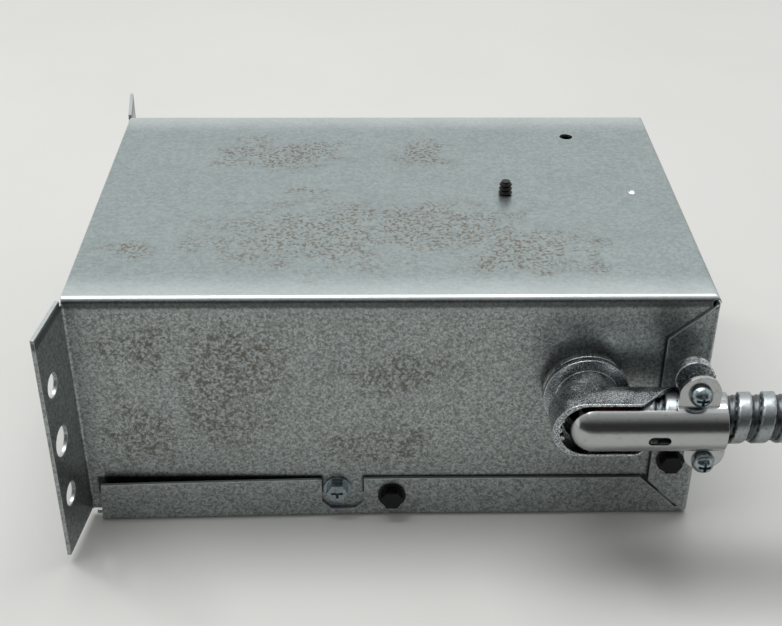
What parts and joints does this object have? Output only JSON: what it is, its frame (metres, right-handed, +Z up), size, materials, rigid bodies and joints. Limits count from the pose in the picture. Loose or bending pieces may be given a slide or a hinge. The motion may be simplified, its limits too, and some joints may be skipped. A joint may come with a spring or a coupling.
{
  "type": "manual transfer switch",
  "caption": "Manual transfer switch in a folded galvanised box with two mounting ears, a rotary knob, and a flexible metal conduit whip on an angled connector.",
  "frame": {"origin": "centre of the underside of the wiring cover, on which the box lies", "axes": "+X from the open end with the two ears to the closed end, +Y away from the side with the angled connector, +Z up from the wiring cover to the top panel"},
  "size_m": [0.4501, 0.2266, 0.092],
  "materials": {
    "galvanised_steel": "hot-dip galvanised sheet, fine spangle, lightly stained",
    "zinc_plated_steel": "bright zinc plate",
    "black_oxide_steel": "black oxide, oiled",
    "die_cast_zinc": "die-cast zinc, matte",
    "bright_plated_steel": "bright nickel plate",
    "conduit_strip": "galvanised strip, interlocked",
    "aluminium_rivet": "bright",
    "contact_brass": "tinned and plain brass",
    "ground_aluminium": "extruded",
    "black_phenolic": "moulded",
    "knob_plastic": "satin black",
    "dial_aluminium": "brushed, printed numbers",
    "natural_nylon": "moulded",
    "spring_steel": "bright",
    "red_button": "moulded",
    "green_lens": "translucent",
    "amber_lens": "translucent",
    "lamp_body": "moulded",
    "bushing_plastic": "moulded",
    "wire_black": "insulation",
    "wire_red": "insulation",
    "wire_white": "insulation",
    "wire_green": "insulation",
    "wire_blue": "insulation"
  },
  "bodies": {
    "enclosure": {"back_shell": "galvanised_steel", "wiring_cover": "galvanised_steel", "operator_plate": "galvanised_steel", "tie_strap": "galvanised_steel", "cover_screws": "black_oxide_steel", "bonding_screws": "zinc_plated_steel", "block_screw": "black_oxide_steel", "ground_rivet": "aluminium_rivet", "terminal_block": "black_phenolic", "terminal_strips": "contact_brass", "terminal_screws": "zinc_plated_steel", "ground_bar": "ground_aluminium", "ground_screws": "zinc_plated_steel", "dial_plate": "dial_aluminium", "index_housing": "black_phenolic", "index_spring": "spring_steel", "line_stage": "black_phenolic", "generator_stage": "black_phenolic", "fixed_contacts": "contact_brass", "contact_screws": "zinc_plated_steel", "switch_end_plate": "black_phenolic", "tie_screws": "zinc_plated_steel", "switch_mount_screws": "zinc_plated_steel", "breaker_body": "black_phenolic", "breaker_nut": "bright_plated_steel", "breaker_tabs": "contact_brass", "utility_lamp_body": "lamp_body", "utility_lamp_lens": "green_lens", "generator_lamp_body": "lamp_body", "generator_lamp_lens": "amber_lens", "lamp_bezels": "bright_plated_steel", "lamp_clips": "spring_steel", "connector_body": "die_cast_zinc", "connector_strap": "bright_plated_steel", "clamp_screws": "zinc_plated_steel", "connector_locknut": "zinc_plated_steel", "anti_short_bushing": "bushing_plastic", "flexible_conduit": "conduit_strip", "far_connector": "die_cast_zinc", "far_bushing": "bushing_plastic", "far_locknut": "zinc_plated_steel", "line_wire": "wire_black", "load_wire": "wire_red", "neutral_wire": "wire_white", "ground_wire": "wire_green", "feed_wire": "wire_blue", "breaker_wire": "wire_blue", "load_jumper": "wire_red", "utility_lamp_leads": "wire_black", "generator_lamp_leads": "wire_black"},
    "switch_rotor": {"knob": "knob_plastic", "knob_screw": "zinc_plated_steel", "switch_shaft": "zinc_plated_steel", "index_wheel": "natural_nylon", "line_rotor": "natural_nylon", "generator_rotor": "natural_nylon", "rotor_blades": "contact_brass"},
    "reset_button": {"breaker_button": "red_button"}
  },
  "joints": [
    {"name": "knob_turn", "type": "hinge", "parent": "enclosure", "child": "switch_rotor", "pos_m": [-0.0915, 0, 0.0435], "axis": [1, 0, 0], "range_deg": [-60, 60], "deforming": ["index_spring"]},
    {"name": "button_trip", "type": "slide", "parent": "enclosure", "child": "reset_button", "axis": [-1, 0, 0], "range_m": [0, 0.0032]}
  ]
}
